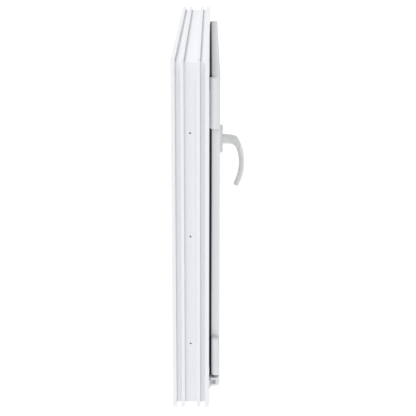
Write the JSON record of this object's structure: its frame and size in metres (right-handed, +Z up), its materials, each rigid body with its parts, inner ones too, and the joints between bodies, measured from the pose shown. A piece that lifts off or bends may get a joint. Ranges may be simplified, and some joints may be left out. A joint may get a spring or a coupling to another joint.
{
  "type": "tilt-and-turn window",
  "caption": "White PVC tilt-and-turn window: outer frame, inward-opening glazed sash, corner hinges, lock gear and curved lever handle.",
  "frame": {"origin": "middle of the sill, on the tip of its rib that is third from the exterior", "axes": "+X along the width from the hinges to the lock side, +Y to the exterior, +Z up"},
  "size_m": [0.8, 0.1435, 0.6],
  "materials": {
    "upvc_white": "smooth extruded white PVC, satin gloss",
    "seal_black": "matt black EPDM",
    "glass_clear": "clear float glass",
    "hinge_cap_white": "moulded white plastic",
    "handle_coat": "white powder coat on die-cast metal",
    "block_plastic": "moulded polypropylene",
    "washer_grey": "moulded grey acetal",
    "spacer_aluminium": "mill finish with punched slots",
    "steel_bright": "bright zinc plate",
    "steel_zinc": "galvanised and silver passivated"
  },
  "bodies": {
    "frame": {"frame_head": "upvc_white", "frame_sill": "upvc_white", "frame_hinge_jamb": "upvc_white", "frame_lock_jamb": "upvc_white", "frame_reinforcement": "steel_zinc", "frame_seal": "seal_black", "lock_keeps": "steel_zinc", "keep_screws": "steel_zinc", "upper_hinge_bracket": "steel_zinc", "upper_hinge_pin": "steel_bright", "upper_hinge_cap": "hinge_cap_white", "upper_hinge_screws": "steel_zinc", "lower_bearing": "hinge_cap_white", "lower_bearing_screw": "steel_bright", "bearing_fixing_screw": "steel_bright"},
    "pivot": {"pivot_pin": "steel_bright", "pivot_washer": "washer_grey"},
    "stay": {"stay_arm": "steel_zinc", "stay_knuckle_cap": "hinge_cap_white", "stay_end_pin": "steel_zinc"},
    "handle": {"handle_lever": "handle_coat", "spindle": "steel_bright", "pinion": "steel_zinc"},
    "lock_slider": {"lock_rod": "steel_zinc", "lock_cams": "steel_zinc"},
    "top_slider": {"top_rod": "steel_zinc", "top_cam": "steel_zinc"},
    "bottom_slider": {"bottom_rod": "steel_zinc", "bottom_cam": "steel_zinc"},
    "sash": {"sash_top_rail": "upvc_white", "sash_bottom_rail": "upvc_white", "sash_hinge_stile": "upvc_white", "sash_lock_stile": "upvc_white", "sash_reinforcement": "steel_zinc", "sash_seal": "seal_black", "outer_pane": "glass_clear", "inner_pane": "glass_clear", "glazing_spacer": "spacer_aluminium", "outer_glazing_seal": "seal_black", "inner_glazing_seal": "seal_black", "bead_top": "upvc_white", "bead_bottom": "upvc_white", "bead_hinge": "upvc_white", "bead_lock": "upvc_white", "setting_blocks": "block_plastic", "stay_guide": "steel_zinc", "lower_hinge_band": "steel_zinc", "lower_hinge_cap": "hinge_cap_white", "hinge_band_screws": "steel_zinc", "lock_faceplate": "steel_zinc", "top_faceplate": "steel_zinc", "bottom_faceplate": "steel_zinc", "faceplate_screws": "steel_zinc", "corner_drive_top": "steel_zinc", "corner_drive_bottom": "steel_zinc", "gearbox": "steel_zinc", "handle_base": "handle_coat", "handle_cover": "handle_coat", "handle_screws": "steel_bright"}
  },
  "joints": [
    {"name": "turn", "type": "hinge", "parent": "frame", "child": "pivot", "pos_m": [-0.3795, -0.02635, 0.04], "axis": [0, 0, -1], "range_deg": [0, 90]},
    {"name": "tilt", "type": "hinge", "parent": "pivot", "child": "sash", "pos_m": [0, -0.02635, 0.036], "axis": [1, 0, 0], "range_deg": [0, 8]},
    {"name": "stay_swing", "type": "hinge", "parent": "pivot", "child": "stay", "pos_m": [-0.3795, -0.02635, 0.555], "axis": [0, 0, -1], "range_deg": [0, 14.85]},
    {"name": "handle_turn", "type": "hinge", "parent": "sash", "child": "handle", "pos_m": [0.335, -0.03515, 0.3], "axis": [0, 1, 0], "range_deg": [0, 180]},
    {"name": "lock_slide", "type": "slide", "parent": "sash", "child": "lock_slider", "axis": [0, 0, -1], "range_m": [0, 0.036]},
    {"name": "top_slide", "type": "slide", "parent": "sash", "child": "top_slider", "axis": [1, 0, 0], "range_m": [0, 0.036]},
    {"name": "bottom_slide", "type": "slide", "parent": "sash", "child": "bottom_slider", "axis": [-1, 0, 0], "range_m": [0, 0.036]}
  ],
  "couplings": [
    {"joint": "stay_swing", "follows": "tilt", "ratio": 1.85},
    {"joint": "lock_slide", "follows": "handle_turn", "m_per_rad": 0.011459},
    {"joint": "top_slide", "follows": "handle_turn", "m_per_rad": 0.011459},
    {"joint": "bottom_slide", "follows": "handle_turn", "m_per_rad": 0.011459}
  ]
}
